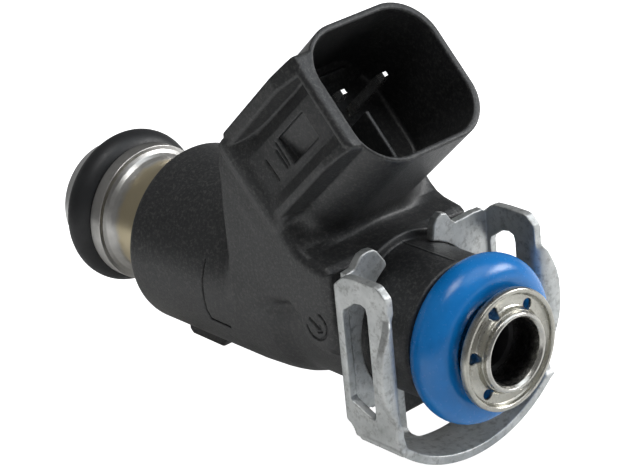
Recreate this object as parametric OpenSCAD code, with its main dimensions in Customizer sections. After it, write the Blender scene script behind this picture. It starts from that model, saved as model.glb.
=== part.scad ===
// Top-feed port fuel injector with a moulded two-pin connector.
// The injector axis lies along X. The nozzle end points to -X and the inlet
// end to +X. The connector side is +Z. The origin is on the axis, at the
// centre of the nozzle-side O-ring.

/* [Seals] */
// Distance between the two O-ring centres, along the axis
seal_spacing = 45.7; // [45:0.1:47]
// Outer radius of both O-rings
seal_r = 7.3; // [7.1:0.05:7.5]
// Section radius of the nozzle-side O-ring
lower_sec_r = 1.66; // [1.5:0.02:1.7]
// Section radius of the inlet O-ring
upper_sec_r = 1.95; // [1.7:0.05:1.96]

/* [Body] */
// Radius of the round overmoulded body
body_r = 8.34; // [8.1:0.02:8.6]
// Nozzle-side end of the overmould
body_x0 = 9.7; // [9.2:0.1:9.9]
// Radius of the shoulder behind the clip
shoulder_r = 7.2; // [6.9:0.1:7.6]
// Inlet-side face of the shoulder
shoulder_x = 37.3; // [36.5:0.1:37.6]
// Radius of the neck that the clip holds
neck_r = 6.4; // [6:0.1:6.5]
// Half width of the flat-sided trunk under the connector
trunk_y = 8.2; // [7.8:0.1:8.3]

/* [Connector] */
// Angle of the connector axis above the injector axis, degrees
conn_angle = 43.2; // [40:0.2:46]
// Half width of the connector mouth
mouth_y = 6.75; // [6.5:0.05:7]
// Height of the mouth above the connector axis
mouth_up = 6.35; // [6.2:0.05:6.6]
// Depth of the mouth below the connector axis
mouth_dn = 6.75; // [6.5:0.05:6.9]
// Corner radius of the mouth
mouth_r = 4.0; // [3:0.1:4.5]
// Wall of the connector shell
mouth_wall = 0.6; // [0.5:0.05:0.7]
// Depth of the connector socket
socket_depth = 10; // [8:0.5:11]
// Half spacing of the two pins
pin_y = 2.35; // [2:0.05:2.6]
// Side of the square pins
pin_w = 0.8; // [0.6:0.05:1]

/* [Clip] */
// Thickness of the clip's sheet
clip_t = 0.8; // [0.7:0.05:0.9]
// Outer half width of the clip's legs
clip_y = 9.0; // [8.8:0.1:9.3]
// Outer radius of the curled lips
lip_r = 10.5; // [10:0.1:11]
// Outer radius of the strap under the neck
strap_r = 13; // [12.6:0.1:13.4]

/* [Valve] */
// Valve lift
lift = 0.1; // [0.06:0.01:0.12]
// Radius of the valve ball
ball_r = 1.6; // [1.4:0.05:1.7]
// Radius of the armature
arm_r = 3.3; // [3.28:0.01:3.32]

/* [Hidden] */
$fn = 96;

tube_r = 3.36;            // outer radius of the inlet tube
tube_ri = 2.8;            // its bore
neck_x1 = seal_spacing - upper_sec_r - 0.05;
tube_x1 = seal_spacing + 4.2;
house_r = 7.4;            // coil housing
house_x0 = 10.3;
house_x1 = 26.2;
barrel_r = 5.37;          // tan barrel of the valve body
pocket_r = 2.35;          // pocket for seat, guide and orifice plate
seat_apex = -3.2;
ball_x = seat_apex + ball_r / sin(45) + 0.012;
pole_x = 18.0;            // working face of the pole piece
arm_x1 = pole_x - lift - 0.02;
mouth_x = 38.09;          // centre of the connector mouth
mouth_z = 21.19;
rail_y = 8.3;             // outer face of the latch rails
rim_y = 7.7;              // outer face of the rim at the mouth
pad_y = 7.5;              // outer face of the latch pad
fork_x = 38.2;            // nozzle-side face of the clip
clip_x1 = 45.0;           // inlet-side edge of the clip
strap_zc = 2.1;           // centre of the strap's arc

module rod(r, x0, x1) translate([x0, 0, 0]) rotate([0, 90, 0]) cylinder(r = r, h = x1 - x0);
module sleeve(ro, ri, x0, x1) difference() { rod(ro, x0, x1); rod(ri, x0 - 1, x1 + 1); }
// A turned shape about X from [x, radius] points.
module turned(pts) rotate([0, 90, 0]) rotate_extrude() polygon([for (p = pts) [p[1], p[0]]]);
// A rounded rectangle, [y0, y1] by [w0, w1], without hull.
module rrect(y0, y1, w0, w1, r) {
  translate([y0 + r, w0]) square([y1 - y0 - 2 * r, w1 - w0]);
  translate([y0, w0 + r]) square([y1 - y0, w1 - w0 - 2 * r]);
  for (y = [y0 + r, y1 - r], w = [w0 + r, w1 - r]) translate([y, w]) circle(r);
}
// The connector's own frame: local X runs out of the mouth.
module at_mouth() translate([mouth_x, 0, mouth_z]) rotate([0, -conn_angle, 0]) children();
// An extrusion of a (y, w) outline along the connector axis, from u0 to u1.
module along_u(u0, u1) translate([u0, 0, 0]) rotate([90, 0, 90]) linear_extrude(u1 - u0) children();
// A box from corner to corner.
module cbox(a, b) translate(a) cube([b[0] - a[0], b[1] - a[1], b[2] - a[2]]);

pin_u = -3.53;            // pin tips, behind the mouth
pin_wz = 1.66;            // pins above the connector axis
bend_u = -12.4;           // where the terminals turn down
bend_x = mouth_x + bend_u * cos(conn_angle) - pin_wz * sin(conn_angle);
bend_z = mouth_z + bend_u * sin(conn_angle) + pin_wz * cos(conn_angle);
term_z = 5.5;             // terminals in the bobbin
term_x0 = 24.4;

module terminal(y) {
  h = pin_w / 2;
  at_mouth() cbox([bend_u, y - h, pin_wz - h], [pin_u, y + h, pin_wz + h]);
  cbox([bend_x - h, y - h, term_z - h], [bend_x + h, y + h, bend_z]);
  cbox([term_x0, y - h, term_z - h], [bend_x, y + h, term_z + h]);
}

module body_solid() {
  turned([[body_x0, 0], [body_x0, body_r - 0.5], [body_x0 + 0.15, body_r - 0.15],
    [body_x0 + 0.5, body_r], [27.2, body_r], [28.6, 8.0], [30.4, shoulder_r + 0.04],
    [shoulder_x - 0.2, shoulder_r], [shoulder_x, shoulder_r - 0.2], [shoulder_x, neck_r],
    [neck_x1 - 0.15, neck_r], [neck_x1, neck_r - 0.15], [neck_x1, 0]]);
  // flat-sided trunk
  translate([0, trunk_y, 0]) rotate([90, 0, 0]) linear_extrude(2 * trunk_y)
    polygon([[24.2, -1.4], [23.6, -0.8], [23.8, 15.0], [24.3, 16.2], [25.2, 16.6],
      [33.0, 8.2], [33.8, 7.4], [34.8, 6.9], [36.6, 6.6], [36.6, -0.6], [35.8, -1.4]]);
  // connector shell
  at_mouth() along_u(-14.5, 0) rrect(-mouth_y, mouth_y, -mouth_dn, mouth_up, mouth_r);
  // raised rim on the latch side
  at_mouth() cbox([-1.8, -rim_y, -3.7], [0, -mouth_y + 1.0, 3.8]);
  // latch guide rails, lower towards the mouth
  at_mouth() for (w = [[3.72, 5.03], [-3.7, -2.12]]) translate([0, 0, w[0]]) linear_extrude(w[1] - w[0])
    polygon([[-12.85, -5.6], [-12.85, -rail_y], [-3.5, -rail_y], [0, -rim_y - 0.02], [0, -5.6]]);
  // pad between the rails
  at_mouth() cbox([-12.6, -pad_y, -2.2], [-1, -6, 2.8]);
  // the trunk's flank runs out into the connector's side
  at_mouth() translate([0, 0, -3.9]) linear_extrude(8.5)
    polygon([[-14.2, 8.18], [-12.7, 8.18], [-9.5, 6.6], [-9.5, -6.6], [-12.7, -8.18], [-14.2, -8.18]]);
  // keys on the underside
  translate([0, 3, 0]) rotate([90, 0, 0]) linear_extrude(6)
    polygon([[10.2, -6], [10.2, -8.6], [10.8, -9.2], [14.9, -9.3], [16.1, -8.2], [16.1, -6]]);
  translate([0, 2.7, 0]) rotate([90, 0, 0]) linear_extrude(5.4)
    polygon([[32.4, -5], [32.4, -7.4], [33.4, -8.8], [38.1, -9.0], [38.1, -5]]);
}

module overmold_body() color([0.16, 0.16, 0.17]) difference() {
  body_solid();
  rod(tube_r + 0.02, 20, 60);
  rod(house_r + 0.01, house_x0, house_x1);
  rod(barrel_r + 0.02, body_x0 - 1, house_x0 + 1);
  // connector socket
  at_mouth() difference() {
    along_u(-socket_depth, 1) rrect(-mouth_y + 0.25, mouth_y - mouth_wall,
      -mouth_dn + mouth_wall, mouth_up - mouth_wall, mouth_r - 0.5);
    // keying rib
    cbox([-socket_depth - 1, -0.5, -mouth_dn], [-4.9, -0.1, -0.2]);
  }
  // latch recess
  at_mouth() cbox([-7.45, -9, -1.2], [-2.95, -6.8, 1.3]);
  terminal(pin_y);
  terminal(-pin_y);
}

module terminal_a() color([0.85, 0.85, 0.82]) terminal(-pin_y);
module terminal_b() color([0.85, 0.85, 0.82]) terminal(pin_y);

module inlet_tube() color([0.75, 0.75, 0.72]) turned([[18.4, tube_ri], [18.4, tube_r],
  [tube_x1 - 0.5, tube_r], [tube_x1 - 0.15, tube_r + 0.08], [tube_x1, tube_r - 0.02], [tube_x1 - 0.08, tube_r - 0.25],
  [tube_x1 - 0.45, tube_ri + 0.03], [tube_x1 - 1.0, tube_ri]]);

module inlet_filter_frame() color([0.1, 0.1, 0.1]) {
  sleeve(tube_ri, 2.3, tube_x1 - 6.4, tube_x1 - 3.2);
  sleeve(1.9, 1.6, tube_x1 - 14.2, tube_x1 - 13.2);
  for (a = [0, 90, 180, 270]) rotate([a, 0, 0])
    cbox([tube_x1 - 13.25, -0.3, 1.62], [tube_x1 - 5.2, 0.3, 2.45]);
  rod(1.7, tube_x1 - 14.2, tube_x1 - 13.8);
}
module inlet_filter_screen() color([0.7, 0.68, 0.6])
  sleeve(1.6, 1.5, tube_x1 - 13.8, tube_x1 - 5.2);

module o_ring_retainer() color([0.78, 0.78, 0.74]) {
  x = seal_spacing + 3.5;
  difference() {
    turned([[x + 0.12, tube_r + 0.15], [x - 0.2, tube_r + 0.18], [x - 0.42, 3.75], [x - 0.48, 4.1],
      [x - 0.42, 4.6], [x - 0.05, 4.95], [x + 0.02, 5.1], [x - 0.02, 5.22], [x - 0.35, 5.25],
      [x - 0.55, 5.2], [x - 0.6, 5.0], [x - 0.85, 4.5], [x - 0.9, 3.7], [x - 0.75, tube_r], [x + 0.12, tube_r]]);
    for (k = [0 : 5]) rotate([50 + 60 * k, 0, 0]) translate([x - 2, 3.9, 0]) rotate([0, 90, 0]) cylinder(r = 0.55, h = 3);
  }
}

module upper_o_ring() color([0.10, 0.35, 0.72]) translate([seal_spacing, 0, 0]) rotate([0, 90, 0])
  rotate_extrude() translate([seal_r - upper_sec_r, 0]) circle(upper_sec_r, $fn = 48);
module lower_o_ring() color([0.16, 0.16, 0.18]) rotate([0, 90, 0])
  rotate_extrude() translate([seal_r - lower_sec_r, 0]) circle(lower_sec_r, $fn = 48);

module pole_piece() color([0.6, 0.6, 0.6]) sleeve(tube_ri, 1.5, pole_x, 30);
module adjusting_sleeve() color([0.72, 0.7, 0.6]) sleeve(1.5, 0.9, 24, 29);

// The spring: a round wire swept along a helix about X.
spr_r = 1.05;
spr_wire = 0.16;
spr_x0 = 16.5 + spr_wire;
spr_x1 = 24 - spr_wire;
spr_turns = 8;
spr_n = spr_turns * 16;
spr_s = 8;
function spr_c(i) = let (t = i / spr_n, a = 360 * spr_turns * t) [spr_x0 + (spr_x1 - spr_x0) * t, a];
function spr_pt(i, j) = let (c = spr_c(i), b = 360 * j / spr_s, r = spr_r + spr_wire * cos(b))
  [c[0] + spr_wire * sin(b), r * cos(c[1]), r * sin(c[1])];
module return_spring() color([0.7, 0.7, 0.72]) polyhedron(
  points = [for (i = [0 : spr_n], j = [0 : spr_s - 1]) spr_pt(i, j)],
  faces = concat([[for (j = [0 : spr_s - 1]) j]],
    [for (i = [0 : spr_n - 1], j = [0 : spr_s - 1]) let (k = (j + 1) % spr_s)
      [i * spr_s + j, (i + 1) * spr_s + j, (i + 1) * spr_s + k, i * spr_s + k]],
    [[for (j = [spr_s - 1 : -1 : 0]) spr_n * spr_s + j]]));

module coil_bobbin() color([0.85, 0.82, 0.7]) difference() {
  turned([[12.4, 3.95], [12.4, 6.5], [13.2, 6.5], [13.2, 4.6], [24.2, 4.6], [24.2, 6.5], [25.0, 6.5], [25.0, 3.95]]);
  terminal(pin_y);
  terminal(-pin_y);
}
module coil_winding() color([0.72, 0.4, 0.2]) sleeve(6.3, 4.6, 13.2, 24.2);
module coil_housing() color([0.6, 0.6, 0.58]) difference() {
  rod(house_r, house_x0, house_x1);
  rod(6.6, house_x0 + 1, house_x1 + 1);
  rod(barrel_r + 0.02, house_x0 - 1, house_x0 + 2);
}
module flux_washer() color([0.6, 0.6, 0.58]) difference() {
  sleeve(6.6, tube_r + 0.02, 25.2, house_x1);
  cbox([25, -3.2, 4.4], [27, 3.2, 8]);
}
module weld_sleeve() color([0.7, 0.7, 0.68]) sleeve(3.9, tube_r, 9.2, 20.5);

module valve_body() color([0.76, 0.74, 0.66]) difference() {
  turned([[-4.3, 0], [-4.3, 3.0], [-1.75, 3.0], [-1.75, 3.97], [1.7, 3.97], [1.7, 6.35], [1.82, 6.47], [2.98, 6.47],
    [3.1, 6.35], [3.25, 5.95], [3.55, 5.65], [3.95, 5.45], [4.4, barrel_r], [12.2, barrel_r], [12.2, 0]]);
  rod(pocket_r, -5, -0.2);
  rod(1.7, -1, 10);
  rod(3.9, 9.2, 13);
}
module nozzle_cap() color([0.7, 0.7, 0.7]) turned([[-3.9, 3.02], [-3.9, 4.9], [-3.75, 5.25], [-3.4, 5.4],
  [-1.95, 5.4], [-1.8, 5.25], [-1.78, 3.02]]);
module valve_seat() color([0.7, 0.7, 0.7]) difference() {
  rod(pocket_r, -3.6, -1.3);
  rod(0.5, -4, -2);
  turned([[seat_apex + 0.5, 0], [seat_apex + 0.5, 0.5], [-1.3, -1.3 - seat_apex], [-1.2, -1.2 - seat_apex], [-1.2, 0]]);
}
module orifice_plate() color([0.75, 0.75, 0.75]) difference() {
  rod(pocket_r, -3.9, -3.6);
  for (a = [45, 135, 225, 315]) rotate([a, 0, 0]) translate([-4.5, 0.32, 0]) rotate([0, 90, 0]) cylinder(r = 0.12, h = 2, $fn = 24);
}
module needle_guide() color([0.7, 0.7, 0.7]) difference() {
  rod(pocket_r, -1.3, -0.2);
  rod(ball_r + 0.03, -2, 1);
  for (a = [0, 60, 120]) rotate([a, 0, 0]) cbox([-2, -0.4, -2.05], [1, 0.4, 2.05]);
}
module armature() color([0.66, 0.66, 0.66]) difference() {
  rod(arm_r, 11.9, arm_x1);
  rod(1.0, 11, 14);
  rod(0.7, 13, 17);
  rod(1.4, 16.5, 19);
}
module needle_tube() color([0.72, 0.72, 0.72]) difference() {
  sleeve(1.0, 0.6, 0.2, 14.0);
  translate([ball_x, 0, 0]) sphere(ball_r);
  for (a = [0, 90]) rotate([a, 0, 0]) translate([8, 0, -3]) cylinder(r = 0.35, h = 6);
}
module valve_ball() color([0.8, 0.8, 0.8]) translate([ball_x, 0, 0]) sphere(ball_r);

// The clip: one bent blank. Two legs with windows, a fork behind them that
// grips the neck, curled lips on the inlet side and a strap underneath.
module clip_leg_outline() difference() {
  polygon([[fork_x, -5.9], [fork_x, 6.2], [39.4, 7.2], [40, 7.5], [43.5, 7.5], [44.5, 6.6], [44.5, -6.1], [clip_x1, -7.4],
    [40.2, -7.4], [40.1, -6.9], [39.0, -6.4]]);
  polygon([[39.1, -3.9], [39.1, 4.0], [40.5, 5.35], [41.6, 5.35], [42.1, 4.9], [42.1, -5.2]]);
}
module clip_fork_outline() difference() {
  union() {
    translate([-clip_y + 0.1, -6.0]) square([2 * clip_y - 0.2, 12.4]);
    // the horns: the plate sits a little to one side of the neck
    polygon([[-5.4, 0], [-7.1, 6.3], [-7.0, 6.95], [-6.5, 7.55], [-5.9, 7.95], [-5.1, 8.0], [-4.4, 7.65],
      [-3.6, 6.5], [-3.5, 0]]);
    polygon([[5.4, 0], [6.9, 6.9], [4.7, 6.9], [4.15, 7.35], [3.65, 8.05], [3.1, 8.2], [2.5, 7.95],
      [2.1, 7.4], [1.88, 6.3], [1.88, 0]]);
    translate([-5.5, -9.9]) square([11, 6]);
  }
  circle(neck_r + 0.05);
  translate([-3.5, 0]) square([5.38, 10]);
  translate([-2.8, -12]) square([5.6, 8]);
}
module strap_outline() difference() {
  intersection() {
    translate([0, strap_zc]) circle(strap_r);
    translate([-clip_y, -12]) square([2 * clip_y, 4.9]);
  }
  translate([0, strap_zc]) circle(strap_r - clip_t);
}
module retaining_clip() color([0.66, 0.67, 0.66]) {
  for (s = [-1, 1]) translate([0, s > 0 ? clip_y : -clip_y + clip_t, 0]) rotate([90, 0, 0])
    linear_extrude(clip_t) clip_leg_outline();
  translate([fork_x, 0, 0]) rotate([90, 0, 90]) linear_extrude(clip_t) clip_fork_outline();
  translate([40.2, 0, 0]) rotate([90, 0, 90]) linear_extrude(clip_x1 - 40.2) strap_outline();
  // feet that tie the fork to the strap
  for (y = [-5.5, 2.8]) cbox([fork_x, y, -9.95], [41, y + 2.7, -9.2]);
  // curled lips
  translate([clip_x1 - clip_t, 0, 0]) rotate([90, 0, 90]) linear_extrude(clip_t) difference() {
    intersection() {
      circle(lip_r);
      translate([-11, -4.6]) square([22, 9.3]);
    }
    translate([-clip_y + clip_t, -6]) square([2 * clip_y - 2 * clip_t, 12]);
  }
}

overmold_body();
terminal_a();
terminal_b();
inlet_tube();
inlet_filter_frame();
inlet_filter_screen();
o_ring_retainer();
upper_o_ring();
adjusting_sleeve();
return_spring();
pole_piece();
coil_bobbin();
coil_winding();
coil_housing();
flux_washer();
weld_sleeve();
valve_body();
lower_o_ring();
nozzle_cap();
valve_seat();
orifice_plate();
needle_guide();
armature();
needle_tube();
valve_ball();
retaining_clip();
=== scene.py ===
import bpy, bmesh, math
import numpy as np
from mathutils import Vector, Matrix


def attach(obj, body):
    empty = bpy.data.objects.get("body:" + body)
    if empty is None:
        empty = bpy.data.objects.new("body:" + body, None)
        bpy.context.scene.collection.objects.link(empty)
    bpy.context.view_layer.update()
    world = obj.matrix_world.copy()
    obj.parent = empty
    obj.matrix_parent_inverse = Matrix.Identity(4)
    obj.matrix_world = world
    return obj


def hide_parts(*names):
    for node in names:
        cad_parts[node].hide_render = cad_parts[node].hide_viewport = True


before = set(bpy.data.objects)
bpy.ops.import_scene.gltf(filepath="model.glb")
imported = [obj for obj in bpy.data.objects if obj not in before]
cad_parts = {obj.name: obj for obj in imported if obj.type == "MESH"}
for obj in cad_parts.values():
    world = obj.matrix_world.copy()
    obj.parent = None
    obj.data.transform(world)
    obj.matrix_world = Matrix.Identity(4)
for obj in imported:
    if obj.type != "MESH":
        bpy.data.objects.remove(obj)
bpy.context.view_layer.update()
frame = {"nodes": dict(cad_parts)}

MM = 0.001
F = np.float32

# ------------------------------------------------------------------ shapes
# All shapes are in millimetres: X along the injector, Z to the connector.

def smin(a, b, k):
    h = np.maximum(k - np.abs(a - b), 0) / k
    return np.minimum(a, b) - h * h * (k * 0.25)

def smax(a, b, k):
    return -smin(-a, -b, k)

def poly(px, py, pts):
    """Signed distance to a closed polygon."""
    n = len(pts)
    d = np.full(px.shape, 1e9, F)
    s = np.ones(px.shape, bool)
    for i in range(n):
        ax, ay = pts[i]; bx, by = pts[i - 1]
        ex, ey = bx - ax, by - ay
        wx, wy = px - ax, py - ay
        t = np.clip((wx * ex + wy * ey) / (ex * ex + ey * ey), 0, 1)
        qx, qy = wx - ex * t, wy - ey * t
        d = np.minimum(d, qx * qx + qy * qy)
        c1, c2, c3 = py >= ay, py < by, ex * wy > ey * wx
        flip = (c1 & c2 & c3) | (~c1 & ~c2 & ~c3)
        s ^= flip
    d = np.sqrt(d)
    return np.where(s, d, -d)

def rect(a, b, a0, a1, b0, b1, r=0.0):
    """Signed distance to a rectangle with rounded corners."""
    qa = np.abs(a - (a0 + a1) / 2) - (a1 - a0) / 2 + r
    qb = np.abs(b - (b0 + b1) / 2) - (b1 - b0) / 2 + r
    return np.hypot(np.maximum(qa, 0), np.maximum(qb, 0)) + np.minimum(np.maximum(qa, qb), 0) - r

def cube3(a, b, c, a0, a1, b0, b1, c0, c1, r=0.0):
    qa = np.abs(a - (a0 + a1) / 2) - (a1 - a0) / 2 + r
    qb = np.abs(b - (b0 + b1) / 2) - (b1 - b0) / 2 + r
    qc = np.abs(c - (c0 + c1) / 2) - (c1 - c0) / 2 + r
    o = np.sqrt(np.maximum(qa, 0) ** 2 + np.maximum(qb, 0) ** 2 + np.maximum(qc, 0) ** 2)
    return o + np.minimum(np.maximum(np.maximum(qa, qb), qc), 0) - r

def seg2(a, b, a0, b0, a1, b1):
    ea, eb = a1 - a0, b1 - b0
    t = np.clip(((a - a0) * ea + (b - b0) * eb) / (ea * ea + eb * eb), 0, 1)
    return np.hypot(a - a0 - ea * t, b - b0 - eb * t)

def seg3(x, y, z, p, q):
    e = [q[i] - p[i] for i in range(3)]
    n = e[0] ** 2 + e[1] ** 2 + e[2] ** 2
    t = np.clip(((x - p[0]) * e[0] + (y - p[1]) * e[1] + (z - p[2]) * e[2]) / n, 0, 1)
    return np.sqrt((x - p[0] - e[0] * t) ** 2 + (y - p[1] - e[1] * t) ** 2 + (z - p[2] - e[2] * t) ** 2)

class Local:
    """Runs a change only on the points inside a box."""
    def __init__(self, x, y, z, d):
        self.x, self.y, self.z, self.d = x, y, z, d
    def at(self, lo, hi, f):
        m = np.ones(self.x.shape, bool)
        for c, a, b in ((self.x, lo[0], hi[0]), (self.y, lo[1], hi[1]), (self.z, lo[2], hi[2])):
            if a is not None: m &= c > a
            if b is not None: m &= c < b
        i = np.flatnonzero(m)
        if len(i):
            self.d[i] = f(self.d[i], self.x[i], self.y[i], self.z[i])

BE = math.radians(43.2)
CU, SU = math.cos(BE), math.sin(BE)
MX, MZ = 38.09, 21.19
def to_uv(x, z):
    """u runs out of the connector's mouth, v down across it."""
    dx, dz = x - MX, z - MZ
    return dx * CU + dz * SU, dx * SU - dz * CU
def from_uv(u, v):
    return MX + u * CU + v * SU, MZ + u * SU - v * CU

RX = [9.0, 10.0, 24.0, 26.6, 27.4, 28.3, 29.0, 29.7, 30.3, 31.0, 40.0]
RR = [8.34, 8.34, 8.31, 8.16, 8.07, 7.92, 7.70, 7.44, 7.27, 7.20, 7.18]
TRUNK = [(24.6, 0.0), (23.9, 1.0), (23.62, 3.0), (23.62, 9.0), (23.9, 13.0), (24.4, 14.6), (25.6, 15.7),
         (33.0, 7.95), (33.6, 7.45), (34.4, 7.1), (36.3, 6.75), (36.9, 6.3), (36.95, -0.6), (36.3, -1.3),
         (34.9, -1.4), (33.6, -1.05), (32.65, -0.1), (32.3, 1.2), (31.4, 2.0), (28.0, 1.4)]

def overmold(x, y, z):
    ay = np.abs(y)
    rho = np.hypot(y, z)
    R = np.interp(x, RX, RR).astype(F)
    body = smax((rho - R) * 0.97, 9.7 - x, 0.7)
    body = smax(body, x - 37.3, 0.35)
    L = Local(x, y, z, body)
    # neck
    def f(d, x, y, z):
        r = np.hypot(y, z)
        n = smax(r - 6.38, x - 43.7, 0.3)
        # moulding line along the top of the neck
        n = np.minimum(n, cube3(x, y, z, 37.0, 43.5, -0.06, 0.06, 6.2, 6.43, 0.03))
        return smin(d, n, 0.25)
    L.at((36.0, None, None), (None, None, None), f)
    # flat-sided trunk
    def f(d, x, y, z):
        t = poly(x, z, TRUNK)
        t = smax(t, np.abs(y) - 8.22, 1.1)
        return smin(d, t, 0.9)
    L.at((22.5, None, -3.5), (38.2, None, 18.0), f)
    # connector shell, with the trunk's flanks running out into it
    def f(d, x, y, z):
        u, v = to_uv(x, z)
        s = rect(y, v, -6.75, 6.75, -6.35, 6.75, 4.0)
        s = smax(s, u, 0.22)
        s = smax(s, 24.1 + 0.4 * (z < 0) - x, 0.8)
        s = smax(s, -14.6 - u, 0.6)
        d = smin(d, s, 2.2)
        hw = np.interp(u, [-20, -12.9, -12.4, -10.1, -9.4, 0], [8.22, 8.22, 8.12, 6.95, 6.6, 6.3]).astype(F)
        q = smax((np.abs(y) - hw) * 0.88, rect(u, v, -13.6, -8.9, -4.5, 3.9, 0.4), 0.5)
        q = smax(q, 24.0 - x, 0.8)
        d = smin(d, q, 0.9)
        return d
    L.at((22.0, None, 3.0), (45.0, None, 28.0), f)
    # latch side
    def f(d, x, y, z):
        u, v = to_uv(x, z)
        # pad between the rails
        py = np.interp(u, [-14, -12.6, -10.0, -7.9, -3.0, 0.0], [-8.22, -8.2, -7.8, -7.64, -7.55, -7.42]).astype(F)
        # a trough along the foot of the upper rail
        py = py + np.interp(u, [-12.7, -10.0, -3.0, -0.9], [0.0, 0.42, 0.5, 0.3]).astype(F) * np.clip((-1.9 - v) / 1.0, 0, 1)
        fl = smax(np.maximum(np.maximum(u + 0.02, -14.2 - u), np.maximum(v - 3.2, -4.7 - v)), py - y, 0.12)
        d = smin(d, np.maximum(fl, y + 5.8), 0.25)
        out = np.interp(u, [-14, -3.3, -3.0, -1.0, 0.0], [-8.32, -8.32, -8.26, -7.86, -7.5]).astype(F)
        for v0, v1, sl in ((-5.03, -3.76, 0.55), (1.7, 3.66, 0.32)):
            # the rail's lower flank slopes out towards its root
            vv = v - sl * np.maximum(y + 8.3, 0)
            if v0 > 0:
                # the lower rail grows out of the pad
                out = out + (np.maximum(py, out) - out) * np.clip((3.0 - v) / 1.0, 0, 1)
            r = smax(smax(np.maximum(v0 - v, (vv - v1) / math.hypot(1, sl)), np.maximum(-12.85 - u, u + 0.02), 0.45), out - y, 0.2)
            r = np.maximum(r, y + 5.8)
            d = smin(d, r, 0.1)
        # rim round the mouth
        return smin(d, cube3(u, v, y, -0.95, -0.02, -4.2, 3.72, -7.78, -5.5, 0.42), 0.06)
    L.at((23.0, -9.0, 9.0), (43.0, -4.5, 27.5), f)
    # socket, with its keying rib
    def f(d, x, y, z):
        u, v = to_uv(x, z)
        s = smax(rect(y, v, -6.5, 6.12, -5.75, 6.22, 3.6), -10.0 - u, 0.5)
        rib = cube3(u, y, v, -10.5, -4.9, -0.52, -0.12, 0.2, 7.0, 0.15)
        s = smax(s, -rib, 0.1)
        return smax(d, -s, 0.22)
    L.at((28.0, -7.0, 10.0), (46.0, 7.0, 28.5), f)
    # latch recess: its floor falls away towards the lower edge
    def f(d, x, y, z):
        u, v = to_uv(x, z)
        c = np.maximum(rect(u, v, -7.45, -2.95, -1.3, 1.2, 0.08), y + 7.30 - 0.23 * (v + 1.3))
        return smax(d, -c, 0.1)
    L.at((27.0, -9.0, 12.0), (38.0, -4.5, 22.0), f)
    # fine lines cut behind the recess
    def f(d, x, y, z):
        u, v = to_uv(x, z)
        g = np.minimum(seg2(u, v, -7.95, -1.2, -7.95, 0.95), seg2(u, v, -8.4, -0.75, -8.35, 1.0))
        g = np.minimum(g, seg2(u, v, -10.15, -0.8, -10.05, 1.25))
        return np.where(g < 0.6, smax(d, np.minimum(0.075 - g, d + 0.16), 0.03), d)
    L.at((25.0, -9.0, 11.0), (34.5, -7.0, 19.0), f)
    # keys on the underside
    def f(d, x, y, z):
        k = poly(x, z, [(10.25, -6), (10.25, -8.8), (10.7, -9.25), (14.9, -9.3), (16.1, -8.1), (16.1, -6)])
        k = smax(k, np.abs(y) - 3.0, 0.5)
        return smin(d, k, 0.4)
    L.at((9.6, -4.2, None), (17.5, 4.2, -5.0), f)
    def f(d, x, y, z):
        k = poly(x, z, [(32.4, -5), (32.4, -7.4), (33.3, -8.7), (37.6, -8.95), (38.1, -8.5), (38.1, -5)])
        k = smax(k, np.abs(y) - 2.7, 0.7)
        return smin(d, k, 0.4)
    L.at((31.0, -4.2, None), (39.4, 4.2, -4.0), f)
    # moulding mark: an L-shaped witness line, and a round date insert
    def f(d, x, y, z):
        pts = [(20.33, -8.02, 2.94), (20.15, -8.34, 1.2), (20.13, -8.34, -0.79), (20.14, -8.2, -2.0), (20.3, -7.95, -2.72), (22.78, -7.9, -2.79)]
        g = np.full(x.shape, 9.0, F)
        for p, q in zip(pts[:-1], pts[1:]):
            g = np.minimum(g, seg2(x, z, p[0], p[2], q[0], q[2]))
        return np.where(g < 0.6, smax(d, np.minimum(0.11 - g, d + 0.22), 0.03), d)
    L.at((19.0, None, -4.5), (24.5, -5.0, 4.5), f)
    def f(d, x, y, z):
        cx, cz = 34.9, 1.2
        a = np.hypot(x - cx, z - cz)
        ring = np.abs(a - 1.22)
        ring = np.where((z - cz) > 0.9 * (x - cx) + 0.9, 9.0, ring)
        g = np.minimum(ring, seg2(x, z, cx - 0.75, cz + 0.45, cx + 0.6, cz - 0.35) - 0.05)
        g = np.minimum(g, seg2(x, z, cx + 0.6, cz - 0.35, cx + 0.15, cz - 0.55))
        g = np.minimum(g, seg2(x, z, cx + 0.6, cz - 0.35, cx + 0.45, cz + 0.15))
        return np.where(g < 0.6, smax(d, np.minimum(0.09 - g, d + 0.15), 0.03), d)
    L.at((33.0, None, -0.8), (36.9, -7.0, 3.2), f)
    # hollow inside
    def f(d, x, y, z):
        r = np.hypot(y, z)
        h = np.minimum(np.maximum(r - 7.42, np.abs(x - 18.25) - 7.95), np.maximum(r - 5.40, x - 10.5))
        h = np.minimum(h, np.maximum(r - 3.39, 20.0 - x))
        return np.maximum(d, -h)
    L.at((None, -8.0, -8.0), (None, 8.0, 8.0), f)
    return L.d

def ell(a, b, a0, b0, r):
    """Distance to an L-shaped path: along +a at b=b0, and along +b at a=a0, joined by an arc of radius r."""
    qa, qb = a - (a0 + r), b - (b0 + r)
    arc = np.abs(np.hypot(qa, qb) - r)
    l1 = np.where(qa >= 0, np.abs(b - b0), np.hypot(qa, b - b0))
    l2 = np.where(qb >= 0, np.abs(a - a0), np.hypot(a - a0, qb))
    return np.where((qa < 0) & (qb < 0), arc, np.minimum(l1, l2))

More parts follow.
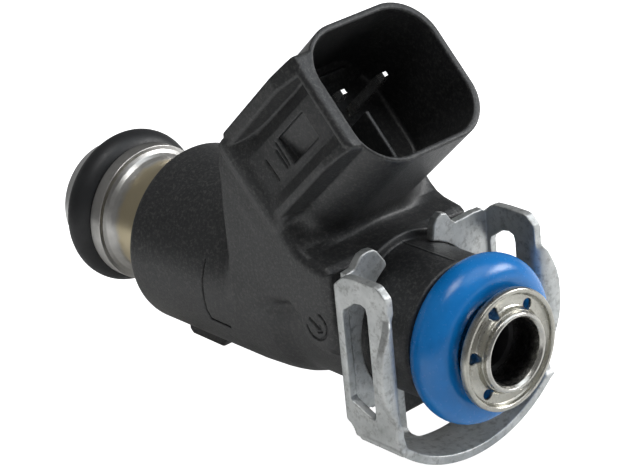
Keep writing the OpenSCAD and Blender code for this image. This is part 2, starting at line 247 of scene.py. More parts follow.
LEG = [(37.6, -5.95), (37.6, 5.9), (38.0, 5.95), (38.2, 6.2), (39.4, 7.2), (39.95, 7.45), (41.3, 7.54), (43.3, 7.54), (43.7, 7.42),
       (44.45, 6.72), (44.55, 6.4), (44.55, -6.0), (45.02, -7.7), (45.02, -9.5),
       (40.2, -9.5), (40.2, -7.75), (39.95, -7.55), (39.45, -7.15), (39.2, -6.6), (38.9, -6.25), (38.4, -6.02)]
WIN = [(39.22, -3.75), (39.22, 3.9), (39.37, 4.3), (40.3, 4.95), (40.7, 5.26), (41.5, 5.4), (42.02, 5.2), (42.16, 4.6), (42.1, -4.75), (41.9, -5.0), (41.5, -4.95), (39.4, -4.05)]
# the two horns of the fork differ: the plate sits a little to one side of the neck
HORN_L = [(3.5, 5.0), (3.5, 6.25), (3.62, 6.6), (4.35, 7.65), (4.75, 7.98), (5.45, 8.08), (6.1, 7.95), (6.5, 7.6), (7.0, 7.05), (7.6, 6.95), (9.4, 6.9),
          (9.4, -5.95), (5.5, -5.95), (5.5, -14), (-1, -14), (-1, 5.0)]
HORN_R = [(1.88, 5.0), (1.88, 6.3), (2.12, 7.5), (2.5, 8.0), (3.1, 8.28), (3.65, 8.1), (4.15, 7.35), (4.6, 6.95), (5.3, 6.95), (6.9, 7.02), (7.6, 6.95), (9.4, 6.9),
          (9.4, -5.95), (5.5, -5.95), (5.5, -14), (-1, -14), (-1, 5.0)]

def clip(x, y, z):
    ay = np.abs(y)
    left = y < 0
    # legs bent into the fork plate on the nozzle side
    s = ell(x, 8.6 - ay, 38.56, 0.0, 0.16) - 0.4
    leg_o = smax(poly(x, z, LEG), -poly(x, z, WIN), 0.14)
    fork_o = np.where(left, poly(ay, z, HORN_L), poly(ay, z, HORN_R))
    fork_o = smax(fork_o, np.where(left, F(6.95), F(6.45)) - np.hypot(y, z), 0.12)
    fork_o = smax(fork_o, -smax(ay - 2.8, z + 5.4, 0.5), 0.1)
    o = np.where(ay > 7.9, leg_o, np.where(x < 39.2, fork_o, F(3.0)))
    # strap under the neck: an arc about (0, 2.1)
    rs = np.hypot(y, z - 2.1) - 12.6
    # the legs end at the strap
    legs = smax(s, o, 0.14)
    legs = np.where(ay > 7.9, smax(legs, -7.25 - z, 0.1), legs)
    # lips: between the corners the leg's edge is rolled outwards
    az = np.abs(z)
    ym = np.interp(az, [0, 1.2, 2.2, 3.0, 4.0, 4.8, 5.6], [10.48, 10.42, 10.2, 9.88, 9.4, 9.04, 8.9]).astype(F)
    q = smax(ell(44.62 - x, ay - 8.6, 0.0, 0.0, 0.95) - 0.4, ay - ym, 0.2)
    q = smax(q, 7.9 - ay, 0.1)
    w = np.clip((az - 4.2) / 1.1, 0, 1)
    w = w * w * (3 - 2 * w)
    legs = np.where((ay > 7.9) & (x > 43.2) & (az < 5.4), q * (1 - w) + legs * w, legs)
    st = smax(np.abs(rs) - 0.4, rect(x, z, 40.2, 45.02, -14.0, -7.05, 0.25), 0.14)
    st = smax(st, ay - 9.0, 0.1)
    d = smin(np.where((ay < 7.9) & (z < -6.0), 9.0, legs), st, 0.35)
    # tongues: fork plate bent round into the strap
    t = ell(x, -rs, 38.6, 0.0, 1.0) - 0.4
    t = smax(t, rect(ay, x, 2.8, 5.5, 30.0, 40.6, 0.0), 0.12)
    t = smax(t, z + 5.2, 0.1)
    return smin(d, t, 0.12)

def ring(x, y, z):
    X = 49.2
    rho = np.hypot(y, z)
    P = [(X + 0.15, 3.50), (X - 0.10, 3.56), (X - 0.32, 3.66), (X - 0.43, 3.82), (X - 0.46, 4.2), (X - 0.44, 4.60), (X - 0.28, 4.74),
         (X - 0.06, 4.80), (X + 0.02, 4.90), (X + 0.02, 5.12), (X - 0.05, 5.22), (X - 0.2, 5.25), (X - 0.62, 5.25), (X - 0.72, 5.15),
         (X - 0.74, 4.9), (X - 0.76, 3.9), (X - 0.68, 3.5), (X - 0.4, 3.38), (X + 0.15, 3.38)]
    d = poly(x, rho, P)
    ang = np.degrees(np.arctan2(z, y))
    for k in range(6):
        a = math.radians(50 + 60 * k)
        cy, cz = math.cos(a), math.sin(a)
        p = y * cy + z * cz          # outward
        q = -y * cz + z * cy
        h = np.hypot(p - 3.98, q) - 0.49
        d = smax(d, -h, 0.06)
    return d

# ------------------------------------------------------------------ meshing
def mesh_field(f, lo, hi, h):
    """A closed mesh of f = 0: surface nets on a grid, then one step onto the surface."""
    n = [int(math.ceil((hi[i] - lo[i]) / h)) + 1 for i in range(3)]
    B = 8
    nb = [(n[i] + B - 1) // B for i in range(3)]
    ax = [lo[i] + h * (np.arange(nb[i]) * B + (B - 1) / 2) for i in range(3)]
    g = np.meshgrid(*ax, indexing="ij")
    dc = f(*[a.ravel().astype(F) for a in g])
    near = (np.abs(dc) < h * B * 0.9 + 0.35).reshape(nb)
    val = np.repeat(np.repeat(np.repeat(np.where(dc.reshape(nb) < 0, F(-5), F(5)), B, 0), B, 1), B, 2)
    bi, bj, bk = np.nonzero(near)
    o = np.arange(B)
    step = 4000
    for s in range(0, len(bi), step):
        i = (bi[s:s + step, None, None, None] * B + o[None, :, None, None])
        j = (bj[s:s + step, None, None, None] * B + o[None, None, :, None])
        k = (bk[s:s + step, None, None, None] * B + o[None, None, None, :])
        i, j, k = [a.ravel() for a in np.broadcast_arrays(i, j, k)]
        v = f((lo[0] + h * i).astype(F), (lo[1] + h * j).astype(F), (lo[2] + h * k).astype(F))
        val[i, j, k] = v
    val[0], val[-1] = 5, 5
    val[:, 0], val[:, -1] = 5, 5
    val[:, :, 0], val[:, :, -1] = 5, 5
    s = (val < 0)
    c = s[:-1, :-1, :-1].astype(np.uint8)
    c = c + s[1:, :-1, :-1] + s[:-1, 1:, :-1] + s[:-1, :-1, 1:] + s[1:, 1:, :-1] + s[1:, :-1, 1:] + s[:-1, 1:, 1:] + s[1:, 1:, 1:]
    act = (c > 0) & (c < 8)
    I, J, K = np.nonzero(act)
    cor = {}
    for a in (0, 1):
        for b in (0, 1):
            for e in (0, 1):
                cor[a, b, e] = val[I + a, J + b, K + e]
    acc = np.zeros((len(I), 3)); cnt = np.zeros(len(I))
    def edge(p, q):
        va, vb = cor[p], cor[q]
        m = (va < 0) != (vb < 0)
        t = np.where(m, va / np.where(m, va - vb, 1), 0)
        for ax_ in range(3):
            acc[:, ax_] += np.where(m, p[ax_] + (q[ax_] - p[ax_]) * t, 0)
        cnt[:] += m
    for p in cor:
        for ax_ in range(3):
            if p[ax_] == 0:
                q = list(p); q[ax_] = 1
                edge(p, tuple(q))
    P = acc / cnt[:, None]
    V = np.stack([I, J, K], 1) + P
    V = V * h + np.array(lo)
    # step onto the surface
    for it in range(2):
        e = 0.35 * h
        x, y, z = [V[:, i].astype(F) for i in range(3)]
        d0 = f(x, y, z)
        gx = (f(x + F(e), y, z) - f(x - F(e), y, z)) / (2 * e)
        gy = (f(x, y + F(e), z) - f(x, y - F(e), z)) / (2 * e)
        gz = (f(x, y, z + F(e)) - f(x, y, z - F(e))) / (2 * e)
        g2 = np.maximum(gx * gx + gy * gy + gz * gz, 0.05)
        st = np.clip(d0 / g2, -0.45 * h, 0.45 * h)
        V -= np.stack([gx * st, gy * st, gz * st], 1)
    idx = np.full(act.shape, -1, np.int64)
    idx[I, J, K] = np.arange(len(I))
    quads = []
    for a in range(3):
        b, c_ = (a + 1) % 3, (a + 2) % 3
        sl0 = [slice(None)] * 3; sl1 = [slice(None)] * 3
        sl0[a] = slice(0, -1); sl1[a] = slice(1, None)
        dif = s[tuple(sl0)] != s[tuple(sl1)]
        E = np.nonzero(dif)
        E = [np.array(t) for t in E]
        m = (E[b] > 0) & (E[c_] > 0)
        E = [t[m] for t in E]
        neg = s[E[0], E[1], E[2]]
        def cell(db, dc_):
            q = [t.copy() for t in E]
            q[b] -= db; q[c_] -= dc_
            return idx[q[0], q[1], q[2]]
        q = np.stack([cell(0, 0), cell(1, 0), cell(1, 1), cell(0, 1)], 1)
        q[~neg] = q[~neg][:, ::-1]
        quads.append(q)
    Q = np.concatenate(quads)
    Q = Q[(Q >= 0).all(1)]
    return V, Q

def make_mesh(name, V, Q, smooth=True):
    me = bpy.data.meshes.new(name)
    me.vertices.add(len(V))
    me.vertices.foreach_set("co", (np.asarray(V) * MM).astype(F).ravel())
    k = Q.shape[1]
    me.loops.add(len(Q) * k)
    me.loops.foreach_set("vertex_index", Q.astype(np.int32).ravel())
    me.polygons.add(len(Q))
    me.polygons.foreach_set("loop_start", np.arange(0, len(Q) * k, k, dtype=np.int32))
    me.polygons.foreach_set("use_smooth", np.full(len(Q), smooth))
    me.update(calc_edges=True)
    me.validate()
    o = bpy.data.objects.new(name, me)
    bpy.context.scene.collection.objects.link(o)
    return o

def keep_largest(V, Q, least=400):
    """Drops crumbs: only shells with enough faces stay."""
    n = len(V)
    par = np.arange(n)
    e = np.concatenate([Q[:, [0, 1]], Q[:, [1, 2]], Q[:, [2, 3]]])
    lab = np.arange(n)
    for _ in range(400):
        m = np.minimum(lab[e[:, 0]], lab[e[:, 1]])
        new = lab.copy()
        np.minimum.at(new, e[:, 0], m)
        np.minimum.at(new, e[:, 1], m)
        new = new[new]
        if (new == lab).all(): break
        lab = new
    fl = lab[Q[:, 0]]
    u, c = np.unique(fl, return_counts=True)
    keep = np.isin(fl, u[c >= least])
    Q = Q[keep]
    used = np.unique(Q)
    rm = np.full(n, -1); rm[used] = np.arange(len(used))
    return V[used], rm[Q]

def decimate(o, ratio):
    m = o.modifiers.new("d", "DECIMATE")
    m.ratio = ratio
    m.use_collapse_triangulate = True
    dg = bpy.context.evaluated_depsgraph_get()
    me = bpy.data.meshes.new_from_object(o.evaluated_get(dg))
    o.modifiers.clear()
    old = o.data
    o.data = me
    me.name = old.name + "_d"
    bpy.data.meshes.remove(old)
    me.polygons.foreach_set("use_smooth", np.full(len(me.polygons), True))
    me.update()

def lathe(name, pts, seg=160, sharp=None):
    """A turned piece about X from closed (x, radius) points; radius 0 points close on the axis."""
    n = len(pts)
    V = []; 
    a = np.linspace(0, 2 * math.pi, seg, endpoint=False)
    idx = []
    for (x, r) in pts:
        if r <= 1e-6:
            idx.append([len(V)]); V.append((x, 0, 0))
        else:
            idx.append(list(range(len(V), len(V) + seg)))
            V += [(x, r * math.cos(t), r * math.sin(t)) for t in a]
    faces = []
    for i in range(n):
        p, q = idx[i], idx[(i + 1) % n]
        if len(p) == 1 and len(q) == 1: continue
        for j in range(seg):
            k = (j + 1) % seg
            if len(p) == 1: faces.append((p[0], q[k], q[j]))
            elif len(q) == 1: faces.append((p[j], p[k], q[0]))
            else: faces.append((p[j], p[k], q[k], q[j]))
    me = bpy.data.meshes.new(name)
    me.from_pydata([tuple(c * MM for c in v) for v in V], [], faces)
    bm = bmesh.new(); bm.from_mesh(me)
    bmesh.ops.recalc_face_normals(bm, faces=bm.faces)
    for f in bm.faces: f.smooth = True
    bm.to_mesh(me); bm.free()
    o = bpy.data.objects.new(name, me)
    bpy.context.scene.collection.objects.link(o)
    return o

def rounded(pts, rad, n=5):
    """Closed (x, r) outline with its corners rounded; rad is one radius or one per point."""
    out = []
    m = len(pts)
    for i in range(m):
        p = np.array(pts[i], float)
        r = rad[i] if isinstance(rad, (list, tuple)) else rad
        a = np.array(pts[i - 1], float) - p
        b = np.array(pts[(i + 1) % m], float) - p
        la, lb = np.linalg.norm(a), np.linalg.norm(b)
        if r <= 0 or p[1] < 1e-6:
            out.append(tuple(p)); continue
        a /= la; b /= lb
        ang = math.acos(max(-1, min(1, float(a @ b))))
        if ang > math.pi - 0.02:
            out.append(tuple(p)); continue
        t = min(r / math.tan(ang / 2), 0.48 * la, 0.48 * lb)
        r2 = t * math.tan(ang / 2)
        c = p + (a + b) / np.linalg.norm(a + b) * (r2 / math.sin(ang / 2))
        s0, s1 = p + a * t, p + b * t
        v0, v1 = s0 - c, s1 - c
        a0, a1 = math.atan2(v0[1], v0[0]), math.atan2(v1[1], v1[0])
        da = (a1 - a0 + math.pi) % (2 * math.pi) - math.pi
        for k in range(n + 1):
            tt = a0 + da * k / n
            out.append((c[0] + r2 * math.cos(tt), c[1] + r2 * math.sin(tt)))
    return out

# ------------------------------------------------------------------ materials
def new_mat(name):
    m = bpy.data.materials.new(name)
    m.use_nodes = True
    nt = m.node_tree
    nt.nodes.clear()
    out = nt.nodes.new("ShaderNodeOutputMaterial")
    b = nt.nodes.new("ShaderNodeBsdfPrincipled")
    nt.links.new(b.outputs[0], out.inputs[0])
    return m, nt, b

class N:
    """Small helpers for a node tree. Texture coordinates are object coordinates in millimetres."""
    def __init__(self, nt):
        self.nt = nt
        tc = nt.nodes.new("ShaderNodeTexCoord")
        mp = nt.nodes.new("ShaderNodeMapping")
        mp.inputs["Scale"].default_value = (1000, 1000, 1000)
        nt.links.new(tc.outputs["Object"], mp.inputs["Vector"])
        self.mm = mp.outputs[0]
    def scaled(self, s):
        mp = self.nt.nodes.new("ShaderNodeMapping")
        mp.inputs["Scale"].default_value = s
        self.nt.links.new(self.mm, mp.inputs["Vector"])
        return mp.outputs[0]
    def noise(self, scale, detail=3, rough=0.5, vec=None):
        n = self.nt.nodes.new("ShaderNodeTexNoise")
        n.inputs["Scale"].default_value = scale
        n.inputs["Detail"].default_value = detail
        n.inputs["Roughness"].default_value = rough
        self.nt.links.new(vec if vec is not None else self.mm, n.inputs["Vector"])
        return n.outputs["Fac"]
    def voronoi(self, scale, vec=None):
        n = self.nt.nodes.new("ShaderNodeTexVoronoi")
        n.inputs["Scale"].default_value = scale
        self.nt.links.new(vec if vec is not None else self.mm, n.inputs["Vector"])
        return n.outputs["Distance"]
    def ramp(self, fac, stops):
        r = self.nt.nodes.new("ShaderNodeValToRGB")
        el = r.color_ramp.elements
        while len(el) < len(stops): el.new(0.5)
        for e, (p, c) in zip(el, stops):
            e.position = p
            e.color = (*c, 1) if isinstance(c, (tuple, list)) else (c, c, c, 1)
        self.nt.links.new(fac, r.inputs[0])
        return r.outputs[0]
    def maprange(self, fac, a, b, c, d):
        n = self.nt.nodes.new("ShaderNodeMapRange")
        for k, v in zip((1, 2, 3, 4), (a, b, c, d)):
            n.inputs[k].default_value = v
        self.nt.links.new(fac, n.inputs[0])
        return n.outputs[0]
    def math(self, op, a, b=None):
        n = self.nt.nodes.new("ShaderNodeMath")
        n.operation = op
        for i, v in enumerate((a, b)):
            if v is None: continue
            if isinstance(v, (int, float)): n.inputs[i].default_value = v
            else: self.nt.links.new(v, n.inputs[i])
        return n.outputs[0]
    def mix(self, fac, a, b, mode="MIX"):
        n = self.nt.nodes.new("ShaderNodeMix")
        n.data_type = "RGBA"; n.blend_type = mode
        for i, v in ((0, fac), (6, a), (7, b)):
            if isinstance(v, (int, float)): n.inputs[i].default_value = v
            elif isinstance(v, (tuple, list)): n.inputs[i].default_value = (*v, 1)
            else: self.nt.links.new(v, n.inputs[i])
        return n.outputs[2]
    def bump(self, h, strength, dist, normal=None):
        n = self.nt.nodes.new("ShaderNodeBump")
        n.inputs["Strength"].default_value = strength
        n.inputs["Distance"].default_value = dist
        self.nt.links.new(h, n.inputs["Height"])
        if normal is not None: self.nt.links.new(normal, n.inputs["Normal"])
        return n.outputs[0]
    def sep(self):
        n = self.nt.nodes.new("ShaderNodeSeparateXYZ")
        self.nt.links.new(self.mm, n.inputs[0])
        return n.outputs

def mat_nylon():
    m, nt, b = new_mat("nylon_glass_filled")
    k = N(nt)
    cloud = k.noise(0.35, 4, 0.55)
    fine = k.noise(6.0, 3, 0.6)
    col = k.ramp(cloud, [(0.30, (0.0155, 0.0162, 0.0178)), (0.72, (0.0235, 0.0243, 0.0258))])
    # pale glass fibres and dust at the surface
    dots = k.voronoi(2.6)
    dm = k.ramp(dots, [(0.0, 1.0), (0.045, 0.0)])
    sel = k.noise(1.3, 1, 0.5)
    dm = k.math("MULTIPLY", dm, k.maprange(sel, 0.50, 0.60, 0.0, 0.75))
    col = k.mix(dm, col, (0.26, 0.26, 0.255))
    grain = k.noise(3.4, 4, 0.8)
    col = k.mix(k.maprange(grain, 0.49, 0.66, 0.0, 0.62), col, (0.105, 0.105, 0.098))
    nt.links.new(col, b.inputs["Base Color"])
    nt.links.new(k.maprange(fine, 0.3, 0.7, 0.36, 0.50), b.inputs["Roughness"])
    b.inputs["Specular IOR Level"].default_value = 0.55
    b.inputs["IOR"].default_value = 1.53
    h = k.math("ADD", k.math("MULTIPLY", k.noise(4.6, 4, 0.7), 0.8), k.math("MULTIPLY", k.noise(2.2, 3, 0.5), 0.5))
    nt.links.new(k.bump(h, 0.50, 0.00007), b.inputs["Normal"])
    return m

def mat_rubber_blue():
    m, nt, b = new_mat("rubber_blue")
    k = N(nt)
    cl = k.noise(0.5, 4, 0.6)
    col = k.ramp(cl, [(0.3, (0.003, 0.185, 0.56)), (0.7, (0.006, 0.220, 0.64))])
    dots = k.voronoi(3.0)
    dm = k.math("MULTIPLY", k.ramp(dots, [(0.0, 1.0), (0.05, 0.0)]), k.maprange(k.noise(1.1, 1), 0.55, 0.66, 0.0, 0.5))
    col = k.mix(dm, col, (0.45, 0.55, 0.7))
    nt.links.new(col, b.inputs["Base Color"])
    nt.links.new(k.maprange(k.noise(3.0, 4, 0.6), 0.3, 0.7, 0.19, 0.29), b.inputs["Roughness"])
    b.inputs["Specular IOR Level"].default_value = 0.5
    b.inputs["Subsurface Weight"].default_value = 0.0
    nt.links.new(k.bump(k.noise(7.0, 4, 0.6), 0.25, 0.00004), b.inputs["Normal"])
    return m

def mat_rubber_black():
    m, nt, b = new_mat("rubber_black")
    k = N(nt)
    col = k.ramp(k.noise(0.6, 4, 0.6), [(0.3, (0.010, 0.0105, 0.012)), (0.7, (0.018, 0.0185, 0.020))])
    nt.links.new(col, b.inputs["Base Color"])
    nt.links.new(k.maprange(k.noise(3.0, 4, 0.6), 0.3, 0.7, 0.40, 0.55), b.inputs["Roughness"])
    nt.links.new(k.bump(k.noise(8.0, 4, 0.6), 0.22, 0.00004), b.inputs["Normal"])
    return m

def mat_metal(name, dark, light, rough, bump=0.15, turned=True, scale=1.0, heat=None, bore_darkening=False):
    """Turned or drawn metal: fine rings or lines along the turning, cloudy tarnish."""
    m, nt, b = new_mat(name)
    k = N(nt)
    cl = k.noise(0.55 * scale, 5, 0.6)
    col = k.ramp(cl, [(0.28, dark), (0.72, light)])
    if heat is not None:
        # straw heat tint on the barrel, beside the overmoulding
        t = k.math("ADD", k.maprange(k.sep()[0], 3.9, 4.9, 0.0, 1.0), k.maprange(k.noise(1.2, 4, 0.6), 0.3, 0.7, -0.2, 0.2))
        col = k.mix(k.maprange(t, 0.2, 0.9, 0.0, 1.0), col, heat)
    if bore_darkening:
        # darker grey down the bore, from the lip inward
        c = k.sep()
        rr = k.math("SQRT", k.math("ADD", k.math("MULTIPLY", c[1], c[1]), k.math("MULTIPLY", c[2], c[2])))
        t = k.math("MULTIPLY", k.maprange(c[0], 49.3, 48.6, 0.0, 1.0), k.maprange(rr, 3.15, 3.0, 0.0, 1.0))
        col = k.mix(t, col, (0.20, 0.195, 0.19))
    nt.links.new(col, b.inputs["Base Color"])
    b.inputs["Metallic"].default_value = 1.0
    lines = k.noise(3.0, 4, 0.65, k.scaled((14, 0.6, 0.6) if turned else (0.8, 6, 6)))
    r = k.math("ADD", k.maprange(lines, 0.3, 0.7, -0.05, 0.05), k.maprange(k.noise(1.7 * scale, 4, 0.6), 0.3, 0.7, rough - 0.05, rough + 0.05))
    nt.links.new(r, b.inputs["Roughness"])
    nt.links.new(k.bump(lines, bump, 0.00002), b.inputs["Normal"])
    return m

def mat_zinc():
    """Zinc-plated sheet: pale satin, with stains and rub marks."""
    m, nt, b = new_mat("zinc_sheet")
    k = N(nt)
    cl = k.noise(0.42, 6, 0.62)
    col = k.ramp(cl, [(0.25, (0.46, 0.48, 0.475)), (0.5, (0.62, 0.635, 0.63)), (0.78, (0.76, 0.77, 0.76))])
    st = k.maprange(k.noise(1.6, 5, 0.7), 0.50, 0.66, 0.0, 0.58)
    col = k.mix(st, col, (0.25, 0.25, 0.24))
    nt.links.new(col, b.inputs["Base Color"])
    b.inputs["Metallic"].default_value = 0.9
    nt.links.new(k.maprange(k.noise(2.4, 5, 0.6), 0.3, 0.7, 0.44, 0.62), b.inputs["Roughness"])
    sc = k.noise(2.0, 3, 0.6, k.scaled((0.5, 5.0, 1.2)))
    h = k.math("ADD", k.math("MULTIPLY", sc, 0.5), k.math("MULTIPLY", k.noise(5.0, 4, 0.6), 0.6))
    nt.links.new(k.bump(h, 0.30, 0.00005), b.inputs["Normal"])
    return m

def mat_plastic(name, a, c, rough=0.45):
    m, nt, b = new_mat(name)
    k = N(nt)
    nt.links.new(k.ramp(k.noise(0.8, 4, 0.6), [(0.3, a), (0.7, c)]), b.inputs["Base Color"])
    nt.links.new(k.maprange(k.noise(3.0, 4, 0.6), 0.3, 0.7, rough - 0.06, rough + 0.06), b.inputs["Roughness"])
    nt.links.new(k.bump(k.noise(7.0, 4, 0.6), 0.2, 0.00004), b.inputs["Normal"])
    return m

M_NYLON = mat_nylon()
M_BLUE = mat_rubber_blue()
M_BLACK = mat_rubber_black()
M_PIN = mat_metal("tin_plate", (0.72, 0.71, 0.68), (0.88, 0.87, 0.84), 0.24, turned=False)
M_TUBE = mat_metal("stainless_drawn", (0.44, 0.43, 0.40), (0.60, 0.59, 0.55), 0.26, bore_darkening=True)
M_RING = mat_metal("stainless_pressed", (0.38, 0.37, 0.33), (0.54, 0.53, 0.48), 0.29, bump=0.1)
M_BARREL = mat_metal("stainless_tan", (0.45, 0.44, 0.42), (0.62, 0.61, 0.59), 0.36, heat=(0.62, 0.54, 0.37))
M_CAP = mat_metal("dull_silver", (0.74, 0.74, 0.73), (0.88, 0.88, 0.87), 0.42)
M_CORE = mat_metal("magnetic_steel", (0.42, 0.42, 0.41), (0.58, 0.58, 0.57), 0.34)
M_SEAT = mat_metal("hardened_steel", (0.50, 0.50, 0.51), (0.70, 0.70, 0.71), 0.22)
M_SPRING = mat_metal("spring_wire", (0.45, 0.45, 0.46), (0.62, 0.62, 0.63), 0.30, turned=False)
M_MESH = mat_metal("filter_mesh", (0.36, 0.35, 0.32), (0.55, 0.54, 0.50), 0.45, bump=0.4, scale=3.0)
M_ZINC = mat_zinc()
M_FILT = mat_plastic("filter_nylon", (0.02, 0.02, 0.022), (0.035, 0.035, 0.038))
M_BOB = mat_plastic("bobbin_nylon", (0.62, 0.57, 0.42), (0.74, 0.69, 0.54))
M_COPPER = mat_metal("enamelled_copper", (0.50, 0.20, 0.08), (0.72, 0.34, 0.15), 0.28, bump=0.5)

def give(o, m):
    if len(o.material_slots) == 0: o.data.materials.append(m)
    for s in o.material_slots: s.material = m

def place(o, m, slot, body, *nodes):
    give(o, m)
    if nodes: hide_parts(*nodes)
    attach(o, body)
    return o

nodes = frame["nodes"]
for n, m in {"inlet_filter_frame": M_FILT, "inlet_filter_screen": M_MESH, "adjusting_sleeve": M_TUBE, "return_spring": M_SPRING,
             "pole_piece": M_CORE, "coil_bobbin": M_BOB, "coil_winding": M_COPPER, "coil_housing": M_CORE, "flux_washer": M_CORE,
             "weld_sleeve": M_TUBE, "valve_seat": M_SEAT, "orifice_plate": M_SEAT, "needle_guide": M_SEAT, "armature": M_CORE,
             "needle_tube": M_TUBE, "valve_ball": M_SEAT}.items():
    give(nodes[n], m)

# ------------------------------------------------------------------ pieces
import time
T0 = time.time()
h = 0.12
V, Q = mesh_field(overmold, (9.3, -8.9, -9.9), (44.6, 8.9, 28.2), h)
V, Q = keep_largest(V, Q)
o = make_mesh("overmold", V, Q)
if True: decimate(o, 0.38)
place(o, M_NYLON, "nylon_black", "injector", "overmold_body")
print("overmold", len(V), round(time.time() - T0, 1))

h = 0.08
V, Q = mesh_field(clip, (37.6, -10.9, -11.5), (45.6, 10.9, 8.6), h)
V, Q = keep_largest(V, Q)
o = make_mesh("clip", V, Q)
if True: decimate(o, 0.45)
place(o, M_ZINC, "clip_zinc", "injector", "retaining_clip")
print("clip", len(V), round(time.time() - T0, 1))

h = 0.05
V, Q = mesh_field(ring, (48.1, -5.6, -5.6), (49.7, 5.6, 5.6), h)
V, Q = keep_largest(V, Q)
o = make_mesh("retainer_ring", V, Q)
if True: decimate(o, 0.6)
place(o, M_RING, "steel_pressed", "injector", "o_ring_retainer")
print("ring", len(V), round(time.time() - T0, 1))

# inlet tube with its turned lip
X1 = 49.9
tube = rounded([(18.4, 2.8), (18.4, 3.36), (X1 - 0.75, 3.36), (X1 - 0.55, 3.44), (X1 - 0.18, 3.44), (X1, 3.28),
                (X1 - 0.02, 3.1), (X1 - 0.3, 2.9), (X1 - 0.8, 2.8)], [0.05, 0.05, 0.2, 0.08, 0.14, 0.12, 0.12, 0.2, 0.4], 4)
place(lathe("tube", tube), M_TUBE, "steel_drawn", "injector", "inlet_tube")

def torus(name, x, R, r, su=192, sv=48):
    pts = [(x + r * math.cos(2 * math.pi * k / sv), R + r * math.sin(2 * math.pi * k / sv)) for k in range(sv)]
    return lathe(name, pts, su)
place(torus("o_ring_inlet", 45.7, 5.35, 1.94), M_BLUE, "rubber_blue", "injector", "upper_o_ring")
place(torus("o_ring_nozzle", 0.0, 5.64, 1.66), M_BLACK, "rubber_black", "injector", "lower_o_ring")

cap = rounded([(-3.9, 3.02), (-3.9, 5.1), (-3.55, 5.4), (-1.78, 5.4), (-1.78, 3.02)], [0.1, 0.25, 0.2, 0.15, 0.05], 5)
place(lathe("cap", cap), M_CAP, "cap_silver", "injector", "nozzle_cap")

vb = [(-4.3, 2.35), (-4.3, 3.0), (-1.75, 3.0), (-1.75, 3.97), (1.7, 3.97), (1.7, 6.47), (3.1, 6.47), (3.16, 6.1),
      (3.34, 5.78), (3.66, 5.52), (4.1, 5.40), (4.6, 5.37), (12.2, 5.37), (12.2, 3.9), (9.2, 3.9), (9.2, 1.7), (-0.2, 1.7), (-0.2, 2.35)]
vr = [0.05, 0.15, 0.0, 0.1, 0.1, 0.16, 0.10, 0.1, 0.3, 0.4, 0.5, 0.5, 0.05, 0.05, 0.05, 0.05, 0.05, 0.05]
place(lathe("valve_barrel", rounded(vb, vr, 5), 192), M_BARREL, "steel_tan", "injector", "valve_body")

# terminals: square pins with chamfered tips, bent down into the coil
def terminal(name, y):
    hw = 0.4
    bx, bz = MX - 12.4 * CU - 1.66 * SU, MZ - 12.4 * SU + 1.66 * CU
    cs = Vector((CU, 0, SU)); cw = Vector((-SU, 0, CU))
    tip = Vector((MX, y, MZ)) + cs * -3.53 + cw * 1.66
    n2 = cw; n1 = Vector((-1, 0, 0))
    nm = (n1 + n2).normalized(); nm = nm / nm.dot(n2)
    def sec(c, n, s):
        yv = Vector((0, 1, 0))
        return [c + yv * (hw * s) + n * (hw * s), c - yv * (hw * s) + n * (hw * s), c - yv * (hw * s) - n * (hw * s), c + yv * (hw * s) - n * (hw * s)]
    secs = [sec(Vector((24.4, y, 5.5)), Vector((0, 0, 1)), 1.0), sec(Vector((bx, y, 5.5)), Vector((-1, 0, 1)), 1.0), sec(Vector((bx, y, bz)), nm, 1.0)]
    for off, s in ((-1.1, 1.0), (-0.75, 0.97), (-0.25, 0.72), (-0.05, 0.6), (0.0, 0.52)):
        secs.append(sec(tip + cs * off, cw, s))
    V = [v * MM for s_ in secs for v in s_]
    Fs = [(0, 1, 2, 3)]
    for i in range(len(secs) - 1):
        for j in range(4):
            k2 = (j + 1) % 4
            Fs.append((4 * i + j, 4 * i + 4 + j, 4 * i + 4 + k2, 4 * i + k2))
    e = 4 * (len(secs) - 1)
    Fs.append((e + 3, e + 2, e + 1, e))
    me = bpy.data.meshes.new(name); me.from_pydata([tuple(v) for v in V], [], Fs)
    bm = bmesh.new(); bm.from_mesh(me)
    bmesh.ops.recalc_face_normals(bm, faces=bm.faces)
    bmesh.ops.bevel(bm, geom=list(bm.edges), offset=0.05 * MM, segments=2, affect="EDGES", profile=0.6, clamp_overlap=True)
    bm.to_mesh(me); bm.free()
    o = bpy.data.objects.new(name, me)
    bpy.context.scene.collection.objects.link(o)
    return o
place(terminal("pin_a", -2.35), M_PIN, "pin_tin", "injector", "terminal_a")
place(terminal("pin_b", 2.35), M_PIN, "pin_tin", "injector", "terminal_b")

# ------------------------------------------------------------------ floor, light, camera
scene = bpy.context.scene
def plain(name, c, rough=0.6):
    m, nt, b = new_mat(name)
    b.inputs["Base Color"].default_value = (*c, 1)
    b.inputs["Roughness"].default_value = rough
    b.inputs["Specular IOR Level"].default_value = 0.1
    return m
# what the camera sees of the table is plain white paper, glowing evenly and hidden from the rays that light the part;
# a second sheet, hidden from the camera, lights the part from below: it reflects the lamps and also glows as painted
# floor light
bpy.ops.mesh.primitive_plane_add(size=6.0, location=(0.02, 0, -0.01150))
floor = bpy.context.object; floor.name = "floor"
mf = plain("paper", (0.9, 0.9, 0.9), 0.9)
fb = mf.node_tree.nodes["Principled BSDF"]
fb.inputs["Emission Color"].default_value = (1, 1, 1, 1)
fb.inputs["Emission Strength"].default_value = 1.0
give(floor, mf)
floor.visible_diffuse = floor.visible_glossy = floor.visible_transmission = floor.visible_shadow = False
bpy.ops.mesh.primitive_plane_add(size=6.0, location=(0.02, 0, -0.01152))
bounce_and_painted_glow = bpy.context.object; bounce_and_painted_glow.name = "bounce_and_painted_glow"
mb, nt, bb = new_mat("bounce_and_painted_glow")
kk = N(nt)
bb.inputs["Roughness"].default_value = 0.9
bb.inputs["Specular IOR Level"].default_value = 0.0
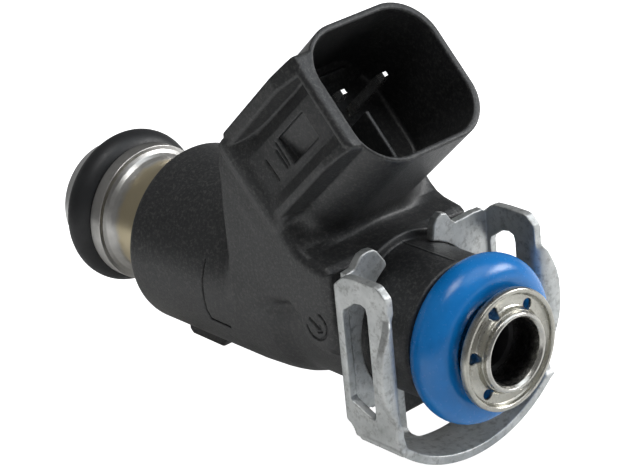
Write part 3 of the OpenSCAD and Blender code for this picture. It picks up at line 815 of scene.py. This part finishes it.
bb.inputs["Emission Color"].default_value = (1, 1, 1, 1)
xx, yy = kk.sep()[0], kk.sep()[1]
ax_, ay_ = kk.math("ADD", xx, -25.0), kk.math("ADD", yy, 5.0)
dist = kk.math("SQRT", kk.math("ADD", kk.math("MULTIPLY", ax_, ax_), kk.math("MULTIPLY", ay_, ay_)))
fall = kk.maprange(dist, 55, 135, 1.0, 0.0)
# painted floor light: the sheet is pale within 55 mm of the part and falls to dark by 135 mm
nt.links.new(kk.mix(fall, (0.15, 0.15, 0.15), (0.88, 0.88, 0.87)), bb.inputs["Base Color"])
# painted glow: almost none close under the part out to y = -12 mm, a painted shadow; it rises to 0.46 by y = -30 mm
# near the part, and rises towards +Y everywhere
nt.links.new(kk.math("ADD", kk.maprange(yy, -5, 60, 0.0, 0.70), kk.math("MULTIPLY", fall, kk.maprange(yy, -12, -30, 0.02, 0.46))), bb.inputs["Emission Strength"])
give(bounce_and_painted_glow, mb)
bounce_and_painted_glow.visible_camera = False

w = bpy.data.worlds.new("w"); scene.world = w
w.use_nodes = True
bg = w.node_tree.nodes["Background"]
bg.inputs[0].default_value = (1, 1, 1, 1)
bg.inputs[1].default_value = 0.17
# the backdrop is white where it is looked at, and dim where it lights the part
wn = w.node_tree
lp = wn.nodes.new("ShaderNodeLightPath")
b2 = wn.nodes.new("ShaderNodeBackground")
b2.inputs[0].default_value = (1, 1, 1, 1); b2.inputs[1].default_value = 1.0
mx = wn.nodes.new("ShaderNodeMixShader")
wn.links.new(lp.outputs["Is Camera Ray"], mx.inputs[0])
wn.links.new(bg.outputs[0], mx.inputs[1]); wn.links.new(b2.outputs[0], mx.inputs[2])
wn.links.new(mx.outputs[0], wn.nodes["World Output"].inputs[0])

def area(name, loc, target, size, power, size_y=None, col=(1, 1, 1)):
    l = bpy.data.lights.new(name, "AREA")
    l.energy = power; l.color = col
    l.shape = "RECTANGLE"; l.size = size; l.size_y = size_y or size
    o = bpy.data.objects.new(name, l)
    scene.collection.objects.link(o)
    o.location = loc
    d = Vector(target) - Vector(loc)
    o.rotation_euler = d.to_track_quat("-Z", "Y").to_euler()
    return o
area("softbox", (0.236, 0.185, 0.351), (0.025, 0, 0.0), 0.28, 0.45, col=(0.88, 0.94, 1.0))
area("top", (0.095, -0.050, 0.400), (0.035, 0, 0.0), 0.15, 0.50)
area("side", (0.230, 0.315, 0.150), (0.035, 0, 0.0), 0.16, 0.70, size_y=0.10)

r = Vector((0.67018043, 0.73614791, -0.09457507))
u = Vector((-0.24812594, 0.34231695, 0.90622989))
d = Vector((-0.69949389, 0.58387102, -0.41207152))
cam = bpy.data.cameras.new("camera")
cam.sensor_fit = "HORIZONTAL"; cam.sensor_width = 36
cam.lens = 2506.35 / 620 * 36
cam.clip_start = 0.01; cam.clip_end = 10
co = bpy.data.objects.new("camera", cam)
scene.collection.objects.link(co)
R = Matrix((r, u, -d)).transposed()
co.matrix_world = Matrix.Translation(Vector((177.5645, -126.9553, 93.6264)) * MM) @ R.to_4x4()
scene.camera = co
scene.view_settings.view_transform = "Standard"
